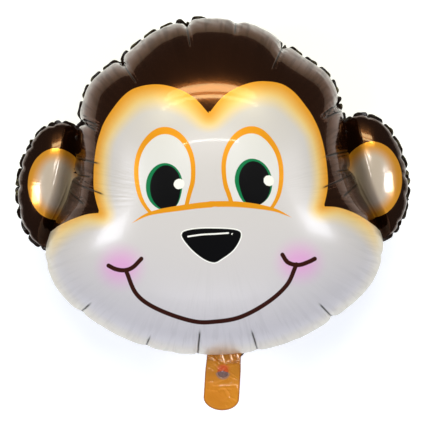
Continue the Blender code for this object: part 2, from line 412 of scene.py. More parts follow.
def flat_films(seam, half_depth, cell):
    """Two flat films cut along one line and welded there, with a flange outside the weld.

    A film's radius along a bearing is the length of the inflated section there. Returns the
    flat points, the side of each (1 front, -1 back, 0 weld, 2 flange), its faces by piece, and
    how far out each point lies as a share of the weld's radius.
    """
    _, radius, height, _ = film_section()
    spread = np.linspace(*SEAM_RADII, 96)
    lengths = [np.hypot(np.diff(radius) * r, np.diff(height) * half_depth).sum() for r in spread]
    turn = np.linspace(-math.pi, math.pi, 1440, endpoint=False)

    def cut_radius(bearing):
        return np.interp(seam_reach(seam, bearing), spread, lengths)

    cut = cut_radius(turn)[:, None] * np.stack([np.cos(turn), np.sin(turn)], axis=1)
    closed = np.vstack([cut, cut[:1]])
    along = np.concatenate([[0], np.cumsum(np.linalg.norm(np.diff(closed, axis=0), axis=1))])
    count = round(along[-1] / cell)
    stops = np.linspace(0, along[-1], count, endpoint=False)
    weld = np.stack([np.interp(stops, along, closed[:, axis]) for axis in (0, 1)], axis=1)

    reach = cell * math.ceil(LATTICE_REACH / cell)
    lattice = np.arange(-reach, reach, cell)
    inner = np.stack([axis.ravel() for axis in np.meshgrid(lattice, lattice)], axis=1)
    bearing, away = polar(inner)
    inner = inner[away < cut_radius(bearing)]
    gaps = np.linalg.norm(inner[:, None] - weld[None], axis=2).min(axis=1)
    inner = inner[gaps > LATTICE_GAP * cell]

    points = np.vstack([weld, inner])
    borders = [(step, (step + 1) % count) for step in range(count)]
    made = geometry.delaunay_2d_cdt([Vector(p) for p in points], borders, [], 1, 1e-7)
    front = square_faces(points, made[2])
    total = len(points)

    def behind(face):
        return tuple(i if i < count else i + total - count for i in reversed(face))

    last = 2 * total - count
    outer = weld * (1 + SEAM_WIDTH / np.linalg.norm(weld, axis=1))[:, None]
    faces = {
        "front": front,
        "back": [behind(face) for face in front],
        "flange": [(a, last + a, last + b, b) for a, b in borders],
    }
    flat = np.vstack([points, points[count:], outer])
    side = np.repeat([0, 1, -1, 2], [count, total - count, total - count, count])
    bearing, away = polar(flat)
    share = np.minimum(away / cut_radius(bearing), 1)
    share[side == 2] = 1
    return np.column_stack([flat, np.zeros(len(flat))]), side, faces, share, bearing


def square_faces(points, triangles):
    """Triangles of a flat lattice joined in pairs into its squares."""
    shape = bmesh.new()
    corners = [shape.verts.new((x, y, 0)) for x, y in points]
    for triangle in triangles:
        shape.faces.new([corners[i] for i in triangle])
    shape.verts.index_update()
    bmesh.ops.join_triangles(
        shape, faces=shape.faces, angle_face_threshold=0.1, angle_shape_threshold=0.3
    )
    shape.normal_update()
    for face in shape.faces:
        if face.normal.z < 0:
            face.normal_flip()
    faces = [tuple(corner.index for corner in face.verts) for face in shape.faces]
    shape.free()
    return faces


def inflated_start(seam, half_depth, side, share, bearing):
    """Smooth inflated shape of the films: each point goes up its section to its arc share."""
    slope, _, height, arc = film_section()
    slopes = np.interp(share, arc / arc[-1], slope)
    reach = seam_reach(seam, bearing) * np.sqrt(np.sin(slopes))
    reach += np.where(side == 2, SEAM_WIDTH, 0)
    rise = np.interp(slopes, slope, height) * half_depth * np.where(side == 2, 0, side)
    return np.column_stack([reach * np.cos(bearing), reach * np.sin(bearing), rise]), slopes


def pumped_up(name, start, flat, faces):
    """The films after Blender's Cloth has let the gas push them out against their flat size."""
    mesh = bpy.data.meshes.new(name)
    mesh.from_pydata(start.tolist(), [], faces["front"] + faces["back"] + faces["flange"])
    worker = bpy.data.objects.new(name, mesh)
    bpy.context.scene.collection.objects.link(worker)
    worker.shape_key_add(name="Basis")
    rest = worker.shape_key_add(name="flat")
    rest.data.foreach_set("co", flat.ravel())
    rest.value = 0
    cloth = worker.modifiers.new("film", "CLOTH")
    film = cloth.settings
    film.rest_shape_key = rest
    film.quality = FILM_QUALITY
    film.mass = FILM_MASS
    film.air_damping = FILM_DAMPING
    film.tension_stiffness = film.compression_stiffness = film.shear_stiffness = FILM_STIFFNESS
    film.bending_stiffness = FILM_BENDING
    film.use_pressure = True
    film.uniform_pressure_force = GAS_PRESSURE
    film.effector_weights.gravity = 0
    cloth.collision_settings.use_collision = False
    cloth.point_cache.frame_start = 1
    cloth.point_cache.frame_end = FILM_FRAMES
    scene = bpy.context.scene
    for step in range(1, FILM_FRAMES + 1):
        scene.frame_set(step)
    settled = worker.evaluated_get(bpy.context.evaluated_depsgraph_get()).to_mesh()
    places = np.empty(len(start) * 3, np.float32)
    settled.vertices.foreach_get("co", places)
    scene.frame_set(1)
    bpy.data.objects.remove(worker)
    return places.reshape(-1, 3).astype(float)


def fitted(points, side, seam, half_depth, share, rests):
    """The settled films moved and scaled so that weld and depth keep the model's size.

    Each bearing is scaled outwards so that the weld, averaged over a few bearings, lies on the
    model's seam line; the share of that scale falls to none at the middle. A film that rests
    on something is pressed flat there.
    """
    weld = side == 0
    placed = points - [0, 0, points[weld, 2].mean()]
    bearing, reach = polar(placed)
    order = np.argsort(bearing[weld])
    turns = bearing[weld][order]
    scale = seam_reach(seam, turns) / reach[weld][order]
    window = np.exp(-(np.linspace(-2, 2, len(turns) // 30 * 2 + 1) ** 2))
    padded = np.concatenate([scale[-len(window):], scale, scale[:len(window)]])
    scale = np.convolve(padded, window / window.sum(), "same")[len(window):-len(window)]
    grown = np.interp(bearing, turns, scale, period=2 * math.pi)
    placed[:, :2] *= (1 + (grown - 1) * share**2)[:, None]
    placed[:, 2] *= half_depth / np.quantile(np.abs(placed[:, 2]), 0.999)
    if rests:
        behind = side < 0
        placed[behind, 2] = np.maximum(placed[behind, 2] * REST_PRESS, -half_depth + REST_GAP)
    return placed


def ironed(points, side, faces, slopes):
    """The films with their fine folds smoothed out towards the middle, where the gas pulls taut.

    Each round moves a point part of the way to the mean of its neighbours. The part grows from
    none at the weld to a half where the film has turned away from it.
    """
    films = faces["front"] + faces["back"]
    pairs = np.array([pair for face in films for pair in zip(face, face[1:] + face[:1])])
    ends = np.concatenate([pairs, pairs[:, ::-1]])
    count = np.maximum(np.bincount(ends[:, 0], minlength=len(points)), 1)
    part = 0.5 * np.clip((SMOOTH_FROM - slopes) / SMOOTH_SPAN, 0, 1)
    part[np.isin(side, (0, 2))] = 0
    for _ in range(SMOOTH_ROUNDS):
        near = [np.bincount(ends[:, 0], points[ends[:, 1], axis], len(points)) for axis in range(3)]
        points = points + part[:, None] * (np.stack(near, axis=1) / count[:, None] - points)
    return points


def tucked(points, slopes, tucks, lip, depth):
    """The film's lip past the weld, parted by the tucks.

    With t the film's turn from the weld over LIP_TURN, the lip stands out by
    lip * t * exp(1 - t). Near a tuck the film is gathered along the seam and drawn in.
    """
    bearings, shares, _ = np.array(tucks).T
    bearing, reach = polar(points)
    turns = (bearing[:, None] - np.radians(bearings)[None] + math.pi) % (2 * math.pi) - math.pi
    nearest = np.abs(turns).argmin(axis=1)
    turn = turns[np.arange(len(turns)), nearest]
    share = shares[nearest]
    fade = np.clip((slopes - TUCK_FROM) / TUCK_SPAN, 0, 1) ** 1.5
    gather = TUCK_PULL * share * np.exp(-((turn * reach / TUCK_GATHER) ** 2)) * fade
    gap = turn * reach * (1 - gather)
    away = np.maximum(math.pi / 2 - slopes, 0) / LIP_TURN
    stand = lip * away * np.exp(1 - away) * (1 - share * np.exp(-((gap / TUCK_GATHER) ** 2)))
    drawn = depth * share * np.exp(-((gap / TUCK_WIDTH) ** 2)) * fade
    bearing = bearing - turn * gather
    reach = reach + stand - drawn * np.sin(slopes)
    level = points[:, 2] - np.sign(points[:, 2]) * drawn * np.cos(slopes)
    return np.column_stack([reach * np.cos(bearing), reach * np.sin(bearing), level])


def past_head(places):
    """How far places lie past the head's weld, and their share of the ridge beside it."""
    bearing, reach = polar(places)
    top = np.clip((RIDGE_TOP - places[:, 1]) / RIDGE_FADE, 0, 1)
    bottom = np.clip((places[:, 1] - RIDGE_BOTTOM) / RIDGE_FADE, 0, 1)
    return reach - seam_reach(head_seam(), bearing), top * bottom


def sunk_at_head(points, offset):
    """An ear's films pressed flat where they pass behind the head's edge, in a smooth step.

    Low on the ear a narrow ridge of film is pushed up beside that edge.
    """
    outside, low = past_head(points[:, :2] + np.array(offset[:2]))
    step = np.clip((outside - SINK_FROM) / SINK_SPAN, 0, 1)
    share = SINK_LEAST + (1 - SINK_LEAST) * step**2 * (3 - 2 * step)
    ridge = RIDGE_HEIGHT * low * np.exp(-(((outside - RIDGE_OUT) / RIDGE_WIDTH) ** 2))
    inner = np.clip(np.abs(points[:, 2]) / RIDGE_LEAST_RISE, 0, 1)
    level = points[:, 2] * share + np.sign(points[:, 2]) * ridge * inner
    return np.column_stack([points[:, :2], level])


def film_pillow(name, seam, half_depth, cell, tucks, lip, depth, rests=False):
    """One gas-filled pillow: its points, sides, faces, and the smooth place of each point."""
    flat, side, faces, share, bearing = flat_films(seam, half_depth, cell)
    calm, slopes = inflated_start(seam, half_depth, side, share, bearing)
    start = tucked(calm, slopes, tucks, 0, depth)
    waves = max(1, round(2 * math.pi * seam[1].mean() / SEAM_WAVE))
    edge = np.isin(side, (0, 2))
    start[edge, 2] += SEAM_WAVE_RISE * np.sin(waves * bearing[edge])
    start += np.random.default_rng(5).normal(0, START_JITTER, start.shape)
    start = pumped_up(name, start, flat, faces)
    settled = ironed(start, side, faces, slopes)
    settled = fitted(settled, side, seam, half_depth, share, rests)
    return tucked(settled, slopes, tucks, lip, depth), side, faces, calm


# Meshes


def link_piece(name, mesh, material, node):
    """A finished mesh as a piece that rides on the balloon and stands for its node."""
    mesh.shade_smooth()
    mesh.materials.append(material)
    piece = bpy.data.objects.new(name, mesh)
    bpy.context.scene.collection.objects.link(piece)
    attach(piece, "root")
    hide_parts(node)


def closed_mesh(name, points, faces):
    """A mesh whose faces all look outwards."""
    mesh = bpy.data.meshes.new(name)
    mesh.from_pydata(points.tolist(), [], faces)
    shape = bmesh.new()
    shape.from_mesh(mesh)
    bmesh.ops.recalc_face_normals(shape, faces=shape.faces)
    shape.to_mesh(mesh)
    shape.free()
    return mesh


def film_mesh(name, pillow, offset):
    """Closed mesh of both films of a pillow, subdivided once, with their smooth places."""
    points, side, faces, calm = pillow
    keep = side != 2
    shift = np.array(offset)
    mesh = bpy.data.meshes.new(name)
    mesh.from_pydata((points[keep] + shift).tolist(), [], faces["front"] + faces["back"])
    place = mesh.attributes.new("calm", "FLOAT_VECTOR", "POINT")
    place.data.foreach_set("vector", (calm[keep] + shift).ravel())
    ends = np.empty(len(mesh.edges) * 2, np.int32)
    mesh.edges.foreach_get("vertices", ends)
    sharp = (side[keep] == 0)[ends.reshape(-1, 2)].all(axis=1)
    mark = mesh.attributes.new("crease_edge", "FLOAT", "EDGE")
    mark.data.foreach_set("value", sharp.astype(np.float32))
    worker = bpy.data.objects.new(name, mesh)
    bpy.context.scene.collection.objects.link(worker)
    smoothing = worker.modifiers.new("smooth", "SUBSURF")
    smoothing.levels = smoothing.render_levels = 1
    graph = bpy.context.evaluated_depsgraph_get()
    made = bpy.data.meshes.new_from_object(
        worker.evaluated_get(graph), preserve_all_data_layers=True, depsgraph=graph
    )
    bpy.data.objects.remove(worker)
    made.name = name
    return made


def seam_mesh(name, pillow, offset, shown, lip):
    """Closed band of the welded flange, which lies folded back behind the film's lip.

    shown tells for each bearing how far, from 0 to 1, the band stands out past the lip as a row
    of rounded tabs. A tab is 1 wide but for a bell-shaped notch at each end of its length.
    """
    points, side, _, calm = pillow
    inner = smooth_curve(points[side == 0], closed=True, steps=4)
    home = smooth_curve(calm[side == 0], closed=True, steps=4)
    steps = np.linalg.norm(np.diff(home, axis=0, append=home[:1]), axis=1)
    tabs = round(steps.sum() / TAB_LENGTH)
    place = (np.cumsum(steps) / steps.sum() * tabs) % 1
    notch = np.exp(-((np.minimum(place, 1 - place) / TAB_NOTCH) ** 2))
    share = shown(np.degrees(np.arctan2(home[:, 1], home[:, 0])) % 360)
    out = home[:, :2] / np.linalg.norm(home[:, :2], axis=1)[:, None]
    width = SEAM_FOLDED_WIDTH * (1 - share)
    width += (lip + TAB_REACH) * share * (1 - TAB_NOTCH_DEPTH * notch)
    drop = -SEAM_FOLD_DROP * (1 - share) + TAB_CURL * share * (1 - notch)
    across = np.column_stack([out * width[:, None], drop])
    ahead = np.roll(inner, -1, axis=0) - np.roll(inner, 1, axis=0)
    up = np.cross(ahead, across)
    up /= np.linalg.norm(up, axis=1)[:, None]
    up *= np.sign(up[:, 2:3])
    rows = inner[None] + across[None] * np.array(SEAM_STATIONS)[:, None, None]
    half = SEAM_THICKNESS / 2
    rings = np.concatenate([rows + up * half, (rows - up * half)[::-1]])
    home = np.broadcast_to(home, rings.shape).reshape(-1, 3) + np.array(offset)
    count = len(inner)
    step = np.arange(count)
    after = (step + 1) % count
    quads = []
    for ring in range(len(rings)):
        here = ring * count
        there = (ring + 1) % len(rings) * count
        quads.append(np.stack([here + step, there + step, there + after, here + after], axis=1))
    points = rings.reshape(-1, 3) + np.array(offset)
    return closed_mesh(name, points, np.vstack(quads).tolist()), home


# Print


def sheet_places(calm):
    """Where the camera sees each smooth point, on a sheet at the seam's level."""
    distance = CAMERA_HEIGHT - (calm[:, 2:3] - SEAM_LEVEL)
    return calm[:, :2] * CAMERA_HEIGHT / distance


def oval_depth(places, centres, size):
    """How far inside the nearest egg each place lies, along the line from its middle.

    An egg's size is its half width, its rise above the middle and its fall below it.
    """
    depths = []
    for centre in centres:
        off = places - np.array(centre)
        tall = np.where(off[:, 1] > 0, size[1], size[2])
        reach = np.maximum(np.hypot(*off.T), 1e-6)
        depths.append(reach / np.hypot(off[:, 0] / size[0], off[:, 1] / tall) - reach)
    return np.max(depths, axis=0)


def nearest_on_path(places, path):
    """For each place, its distance to a path, the side it lies on, and its way along the path."""
    nearest = np.full(len(places), np.inf)
    side = np.zeros(len(places))
    along = np.zeros(len(places))
    walked = 0.0
    for start, stop in zip(path, path[1:]):
        span = stop - start
        length = np.hypot(*span)
        off = places - start
        share = np.clip(off @ span / length**2, 0, 1)
        gap = np.hypot(*(off - share[:, None] * span).T)
        closer = gap < nearest
        nearest[closer] = gap[closer]
        turn = span[0] * off[:, 1] - span[1] * off[:, 0]
        side[closer] = np.sign(turn)[closer]
        along[closer] = (walked + share * length)[closer]
        walked += length
    return nearest, side, along, walked


def outline_depth(places, outline):
    """Distance to a closed outline, positive inside it.

    A place is inside where a line from it to the right crosses the outline an odd number of times.
    """
    closed = np.vstack([outline, outline[:1]])
    nearest, *_ = nearest_on_path(places, closed)
    inside = np.zeros(len(places), bool)
    for start, stop in zip(closed, closed[1:]):
        spans = (start[1] > places[:, 1]) != (stop[1] > places[:, 1])
        rise = places[spans, 1] - start[1]
        crossing = start[0] + rise * (stop[0] - start[0]) / (stop[1] - start[1])
        inside[spans] ^= places[spans, 0] < crossing
    return np.where(inside, nearest, -nearest)


def stroke_fields(places, corners):
    """Side distance to a stroke's smooth line, and the way along it from its start.

    The line is carried straight on past both ends, so both fields run on smoothly there.
    """
    line = smooth_curve(corners, closed=False, steps=10)
    first, last = (
        end + (end - inner) / np.linalg.norm(end - inner) * STROKE_RUN
        for end, inner in ((line[0], line[1]), (line[-1], line[-2]))
    )
    nearest, side, along, walked = nearest_on_path(places, np.vstack([first, line, last]))
    return nearest * side, along - STROKE_RUN, walked - 2 * STROKE_RUN


def crease_lines():
    """The joint's creases on both sides, and one down from the seam at each of the head's tucks."""
    lines = [np.array(crease) * [mirror, 1] for crease in CREASES for mirror in (1, -1)]
    for degrees, _, length in HEAD_TUCKS:
        if not length:
            continue
        bearing = math.radians(degrees)
        reach = seam_reach(head_seam(), bearing)
        way = np.array([math.cos(bearing), math.sin(bearing)])
        stops = (reach + SLIT_PAST, reach - length / 2, reach - length)
        lines.append(np.array([way * stop for stop in stops]))
    return lines


def crease_fields(places):
    """Distance beside the nearest crease of the head's film, and how far the place is off its end.

    The side changes sign half way between two creases. The second value is large there, so that
    no line is drawn: it is the way past the end, plus CREASE_STEEP times the way that the place
    lies beyond CREASE_ZONE beside the line.
    """
    nearest = np.full(len(places), np.inf)
    beside = np.zeros(len(places))
    past = np.zeros(len(places))
    for line in crease_lines():
        side, along, length = stroke_fields(places, line)
        over = np.maximum(np.maximum(-along, along - length), 0)
        gap = np.hypot(side, over)
        closer = gap < nearest
        nearest[closer] = gap[closer]
        beside[closer] = side[closer]
        past[closer] = (over + CREASE_STEEP * np.maximum(np.abs(side) - CREASE_ZONE, 0))[closer]
    return beside, past


def face_outline():
    """The light part of the face: two round lobes that meet in a point, over a wide muzzle."""
    upper = smooth_curve(FACE_UPPER, closed=False, steps=8)
    cheek = smooth_curve(FACE_CHEEK, closed=False, steps=8)
    right = np.vstack([upper, cheek[1:], [FACE_FOOT]])
    outline = np.vstack([right, (right * [-1, 1])[:0:-1]])[::-1]
    return outline + [FACE_ACROSS, 0]


def face_fields(places):
    """Every field of the printed face, by name.

    Each cheek line's side distance holds on its own half; near the middle a smooth push keeps
    the change from one to the other away from the line's width.
    """
    depth = outline_depth(places, face_outline())
    start, span = CHEEK_ZONE_OUT
    cheeks = np.clip((np.abs(places[:, 0] - FACE_ACROSS) - start) / span, 0, 1)
    start, span = CHEEK_ZONE_DOWN
    cheeks *= np.clip((start - places[:, 1]) / span, 0, 1)
    start, span = BROW_ZONE
    brow = np.clip((places[:, 1] - start) / span, 0, 1)
    bearing, reach = polar(places)
    width = BORDER_WIDTH + BORDER_AT_BROW * brow + BORDER_AT_CHEEK * cheeks
    creases = crease_fields(places)
    muzzle = stroke_fields(places, MUZZLE_LINE)
    smile = stroke_fields(places, SMILE)
    shine = stroke_fields(places, NOSE_SHINE)
    lines = [stroke_fields(places, line) for line in CHEEK_LINES]
    right = places[:, 0] > 0
    middle = np.clip(1 - (places[:, 0] / MIDDLE_ZONE) ** 2, 0, 1) ** 2
    return {
        "face": depth,
        "border": BORDER_CHEEK_FADE * cheeks + depth / width,
        "edge": seam_reach(head_seam(), bearing) - reach,
        "crease_side": creases[0],
        "crease_past": creases[1],
        "eye_rim": oval_depth(places, EYES, EYE_RIM),
        "eye_white": oval_depth(places, EYES, EYE_WHITE),
        "iris": oval_depth(places, IRISES, IRIS_SIZE),
        "pupil": oval_depth(places, PUPILS, PUPIL_SIZE),
        "glint": oval_depth(places, GLINTS, GLINT_SIZE),
        "muzzle_side": muzzle[0],
        "muzzle_along": muzzle[1] / muzzle[2],
        "nose": outline_depth(places, smooth_curve(NOSE, closed=True, steps=8)[::-1]),
        "shine_side": shine[0],
        "shine_along": shine[1],
        "dot": oval_depth(places, (NOSE_DOT,), DOT_SIZE),
        "smile_side": smile[0],
        "smile_along": smile[1],
        "cheek_side": np.where(right, lines[1][0], lines[0][0]) - MIDDLE_PUSH * middle,
        "cheek_along": np.where(right, lines[1][1], lines[0][1]),
        "blush": oval_depth(places, BLUSH, BLUSH_SIZE),
        "tail_painted_shade": oval_depth(places, TAIL_PAINTED_SHADE[:1], TAIL_PAINTED_SHADE[1]),
    }


def store_pleats(mesh, seam, middle, half_depth):
    """Places that put pleats square to the seam: round the pillow as on a drum, and in from it.

    The vector is (R cos b, R sin b, d / PLEAT_STRETCH) for the bearing b, a drum's radius R and
    the distance d in from the weld; noise on it runs on without a break where the bearings meet.
    The second field is d as a share of the way over which the pleats fade out at that bearing.
    """
    calm = calm_places(mesh) - np.array(middle)
    bearing, reach = polar(calm)
    inward = np.hypot(seam_reach(seam, bearing) - reach, calm[:, 2])
    drum = seam[1].mean()
    round_drum = [drum * np.cos(bearing), drum * np.sin(bearing), inward / PLEAT_STRETCH]
    place = mesh.attributes.new("pleat", "FLOAT_VECTOR", "POINT")
    place.data.foreach_set("vector", np.column_stack(round_drum).astype(np.float32).ravel())
    turns = (np.degrees(bearing)[:, None] - np.array(PLEAT_LONG)[None] + 180) % 360 - 180
    longer = np.exp(-((np.abs(turns).min(axis=1) / PLEAT_LONG_SPAN) ** 2))
    fade = half_depth * PLEAT_FADE * (1 + PLEAT_LONG_SHARE * longer)
    store_fields(mesh, {"inward": inward / fade}, True)


def store_fields(mesh, fields, front):
    """Each field as an attribute of the mesh's points, far outside on the back film."""
    for name, values in fields.items():
        attribute = mesh.attributes.new(name, "FLOAT", "POINT")
        attribute.data.foreach_set("value", np.where(front, values, -1).astype(np.float32))


def calm_places(mesh):
    """The smooth place that each point of the mesh came from."""
    places = np.empty(len(mesh.vertices) * 3, np.float32)
    mesh.attributes["calm"].data.foreach_get("vector", places)
    return places.reshape(-1, 3).astype(float)


# Materials


def ink(code):
    """Linear colour of a hexadecimal screen colour."""
    values = np.array([int(code[at:at + 2], 16) for at in (0, 2, 4)]) / 255
    linear = np.where(values <= 0.04045, values / 12.92, ((values + 0.055) / 1.055) ** 2.4)
    return (*linear.tolist(), 1.0)


BROWN_THIN = (0.086, 0.028, 0.010, 1.0)
BROWN_THICK = (0.058, 0.019, 0.007, 1.0)
ORANGE_EDGE = ink("EFA42F")
PEACH = ink("F6D68C")
PEARL = ink("D7D3D9")
CREAM = ink("DAD2C4")
TAIL_BEIGE = ink("C9A98A")
BLUSH_PINK = ink("EBA0E4")
ORANGE = ink("F2A01E")
EYE_PEARL = ink("E5E4EA")
WHITE = ink("F6F6F8")
GREEN = ink("0F7A4C")
BLACK = ink("07070A")
MOUTH_BROWN = ink("35130C")
TAIL_WELD = ink("A8600F")
TAIL_DEEP = ink("D27A0C")
TAIL_LIGHT = ink("E89A20")
TAIL_RED = ink("EA6226")
VALVE_GREY = ink("9A7A74")
VALVE_DARK = ink("6B4A48")
# Near black and dark brown of painted shade: on the flange, in the pleats' valleys and slits, in
# the ears' brown and at the tail's top corners
SHADE_BLACK = ink("0A0604")
SHADE_BROWN = ink("26150D")
GOLD_EDGE = ink("F5A834")
GOLD_MIDDLE = ink("D9C9BD")
BOARD_DULL = (0.86, 0.86, 0.865, 1)
BOARD_PALE = (0.9, 0.9, 0.9, 1)
# The board's own glow near the balloon is painted light, fading out further off
BOARD_GLOW = (0.88, 0.92, 1.0, 1)
NO_GLOW = (0, 0, 0, 1)
GLOW_FADE = (0.5, 1.1)

# Share of metal that shines through each ink
BROWN_METAL = 0.85
PEARL_METAL = 0.08
ORANGE_METAL = 0.2
INK_METAL = 0.0
GOLD_METAL = 0.4
CHAMPAGNE_METAL = 0.3

# Where inks fade into each other, in metres or in widths of the face's border
PRINT_EDGE = 0.0004
BORDER_GOLD = (0.0, 0.6)
BORDER_PEARL = (0.3, 1.0)
EDGE_CREAM = (0.014, -0.002)
BLUSH_FADE = (0.0, 0.042)
# Fade and strength of the painted shade round the tail's root
BLUSH_STRENGTH = 0.75
SHADE_FADE = (0.0, 0.020)
SHADE_STRENGTH = 0.6
GOLD_FADE = (0.004, 0.026)
# Share of painted shade mixed into the ears' brown film
EAR_PAINTED_SHADE = 0.35

# Pleats, and what the brown film has first and the face second
HEAD_PLEAT_DEPTH = 0.0013
EAR_PLEAT_DEPTH = 0.0020
# How much painted shade the pleats' valleys get on the brown film, and on the face
VALLEY_PAINTED_SHADE = (0.5, 0.10)
COAT_WEIGHT = (1.0, 0.4)


def new_node(tree, kind, inputs=None, **settings):
    """A node with its settings, whose inputs are set to values or linked to sockets."""
    made = tree.nodes.new(f"ShaderNode{kind}")
    for name, value in settings.items():
        setattr(made, name, value)
    for key, value in (inputs or {}).items():
        if isinstance(value, bpy.types.NodeSocket):
            tree.links.new(value, made.inputs[key])
        else:
            made.inputs[key].default_value = value
    return made


def grouped(tree, name, inputs):
    """A node group placed in a tree, with its inputs set to values or linked to sockets."""
    return new_node(tree, "Group", inputs, node_tree=bpy.data.node_groups[name]).outputs


def arithmetic(tree, operation, *values):
    """Result of one mathematical operation on values or sockets."""
    return new_node(tree, "Math", dict(enumerate(values)), operation=operation).outputs[0]


def product(tree, *values):
    """The product of two values or sockets."""
    return arithmetic(tree, "MULTIPLY", *values)


def scaled_sum(tree, first, second, extra):
    """first * second + extra."""
    return arithmetic(tree, "MULTIPLY_ADD", first, second, extra)


def minus(tree, first, second):
    """The first value or socket less the second."""
    return arithmetic(tree, "SUBTRACT", first, second)


def squared(tree, value):
    """The square of a value or socket."""
    return arithmetic(tree, "POWER", value, 2)


def field(tree, name):
    """A number that the mesh's points carry."""
    return new_node(tree, "Attribute", attribute_name=name).outputs["Fac"]


def step_up(tree, value, low, high):
    """A smooth step from 0 at low to 1 at high, which falls where high is the lesser one."""
    reach = {"Value": value, "From Min": low, "From Max": high}
    return new_node(tree, "MapRange", reach, interpolation_type="SMOOTHSTEP").outputs["Result"]


def inside(tree, name):
    """1 where the named field is positive, with the print's soft edge."""
    return step_up(tree, field(tree, name), -PRINT_EDGE, PRINT_EDGE)


def ranged(tree, share, low, high):
    """A value that runs straight from low to high as the share runs from 0 to 1."""
    reach = {"Value": share, "To Min": low, "To Max": high}
    return new_node(tree, "MapRange", reach).outputs["Result"]


def wired(tree, shader, **values):
    """Sockets of the shader linked to what was made for them; _ stands for a space."""
    for label, value in values.items():
        tree.links.new(value, shader.inputs[label.replace("_", " ")])


def mixed(tree, share, below, above):
    """Colour between two colours."""
    return new_node(tree, "Mix", {0: share, 6: below, 7: above}, data_type="RGBA").outputs[2]


def object_places(tree):
    """The object's own coordinates."""
    return new_node(tree, "TexCoord").outputs["Object"]


def noise(tree, scale, detail=3.0):
    """Cloudy values on the object's own coordinates."""
    inputs = {"Vector": object_places(tree), "Scale": scale, "Detail": detail}
    return new_node(tree, "TexNoise", inputs).outputs["Fac"]


def new_group(name, inputs, outputs):
    """An empty shader node group; inputs and outputs map names to socket kinds and defaults."""
    group = bpy.data.node_groups.new(name, "ShaderNodeTree")
    for label, (kind, value) in inputs.items():
        socket = group.interface.new_socket(label, in_out="INPUT", socket_type=f"NodeSocket{kind}")
        socket.default_value = value
    for label, kind in outputs.items():
        group.interface.new_socket(label, in_out="OUTPUT", socket_type=f"NodeSocket{kind}")
    return group, group.nodes.new("NodeGroupInput"), group.nodes.new("NodeGroupOutput")


def stroke_group():
    """Mask of a stroke with round ends, from the distance beside its line and the way along it."""
    inputs = {
        "Side": ("Float", 0.0),
        "Along": ("Float", 0.0),
        "Length": ("Float", 1.0),
        "Half Width": ("Float", 0.003),
    }
    tree, given, result = new_group("stroke", inputs, {"Mask": "Float"})
    side, along, length, half = (given.outputs[label] for label in inputs)
    ends = arithmetic(tree, "MAXIMUM", minus(tree, along, length), product(tree, along, -1))
    over = arithmetic(tree, "MAXIMUM", ends, 0)
    squares = arithmetic(tree, "ADD", squared(tree, over), squared(tree, side))
    depth = minus(tree, half, arithmetic(tree, "SQRT", squares))
    tree.links.new(step_up(tree, depth, -PRINT_EDGE, PRINT_EDGE), result.inputs["Mask"])


def film_relief_group():
    """Normal of a thin film: soft fine ripples, with sharper short creases between them."""
    inputs = {
        "Ripple Scale": ("Float", 60.0),
        "Depth": ("Float", 0.0004),
        "Crease Depth": ("Float", 0.0002),
        "Extra Height": ("Float", 0.0),
    }
    tree, given, result = new_group("film_relief", inputs, {"Normal": "Vector"})
    places = object_places(tree)
    scale = given.outputs["Ripple Scale"]
    soft = new_node(tree, "TexNoise", {"Vector": places, "Scale": scale, "Detail": 2.0})
    finer = {"Vector": places, "Scale": product(tree, scale, 0.7), "Randomness": 1.0}
    cells = new_node(tree, "TexVoronoi", finer, feature="F1")
    creases = product(tree, cells.outputs["Distance"], given.outputs["Crease Depth"])
    height = scaled_sum(tree, soft.outputs["Fac"], given.outputs["Depth"], creases)
    height = arithmetic(tree, "ADD", height, given.outputs["Extra Height"])
    bump = new_node(tree, "Bump", {"Height": height, "Strength": 1.0, "Distance": 1.0})
    tree.links.new(bump.outputs["Normal"], result.inputs["Normal"])


def seam_pleats_group():
    """Fine pleats that run in from a seam and fade out: their height, and a mask of their valleys
    for painted shade.
    """
    inputs = {"Place": ("Vector", (0, 0, 0)), "Inward": ("Float", 0.0), "Depth": ("Float", 0.0003)}
    tree, given, result = new_group("seam_pleats", inputs, {"Height": "Float", "Valley Shade": "Float"})
    places = {"Vector": given.outputs["Place"], "Scale": PLEAT_SCALE, "Detail": 2.0}
    pleats = new_node(tree, "TexNoise", places).outputs["Fac"]
    squares = squared(tree, given.outputs["Inward"])
    fade = arithmetic(tree, "EXPONENT", product(tree, squares, -PLEAT_FALL))
    deep = product(tree, fade, given.outputs["Depth"])
    tree.links.new(product(tree, pleats, deep), result.inputs["Height"])
    low = minus(tree, 1, step_up(tree, pleats, *PLEAT_VALLEYS))
    tree.links.new(product(tree, low, fade), result.inputs["Valley Shade"])


def seam_pleats(tree, depth):
    """Height of the pleats, and the mask of their valleys for painted shade, on the piece's own
    pleat places.
    """
    place = new_node(tree, "Attribute", attribute_name="pleat").outputs["Vector"]
    inputs = {"Place": place, "Inward": field(tree, "inward"), "Depth": depth}
    placed = grouped(tree, "seam_pleats", inputs)
    return placed["Height"], placed["Valley Shade"]


def film_relief(tree, scale, depth, creases, extra=0.0):
    """Normal of the film's relief, with a material's own values."""
    inputs = {"Ripple Scale": scale, "Depth": depth, "Crease Depth": creases, "Extra Height": extra}
    return grouped(tree, "film_relief", inputs)["Normal"]


def new_material(name, **sockets):
    """A node material; its shader's sockets are named with _ for a space."""
    material = bpy.data.materials.new(name)
    material.use_nodes = True
    shader = material.node_tree.nodes["Principled BSDF"]
    for label, value in sockets.items():
        shader.inputs[label.replace("_", " ")].default_value = value
    return material, material.node_tree, shader


def brown_film(tree):
    """Colour of the brown print: translucent ink over the metal, cloudy in thickness."""
    return mixed(tree, noise(tree, 6.0, detail=2.0), BROWN_THIN, BROWN_THICK)


def overprint(tree, below, metal, mask, colour, metallic):
    """One ink over what lies below, with the share of metal that shines through it."""
    over = mixed(tree, mask, below, colour)
    return over, scaled_sum(tree, minus(tree, metallic, metal), mask, metal)


def bell(tree, distance, width, more=0.0):
    """exp(-(distance / width)**2 - more)."""
    squares = squared(tree, arithmetic(tree, "DIVIDE", distance, width))
    squares = arithmetic(tree, "ADD", squares, more)
    return arithmetic(tree, "EXPONENT", product(tree, squares, -1))


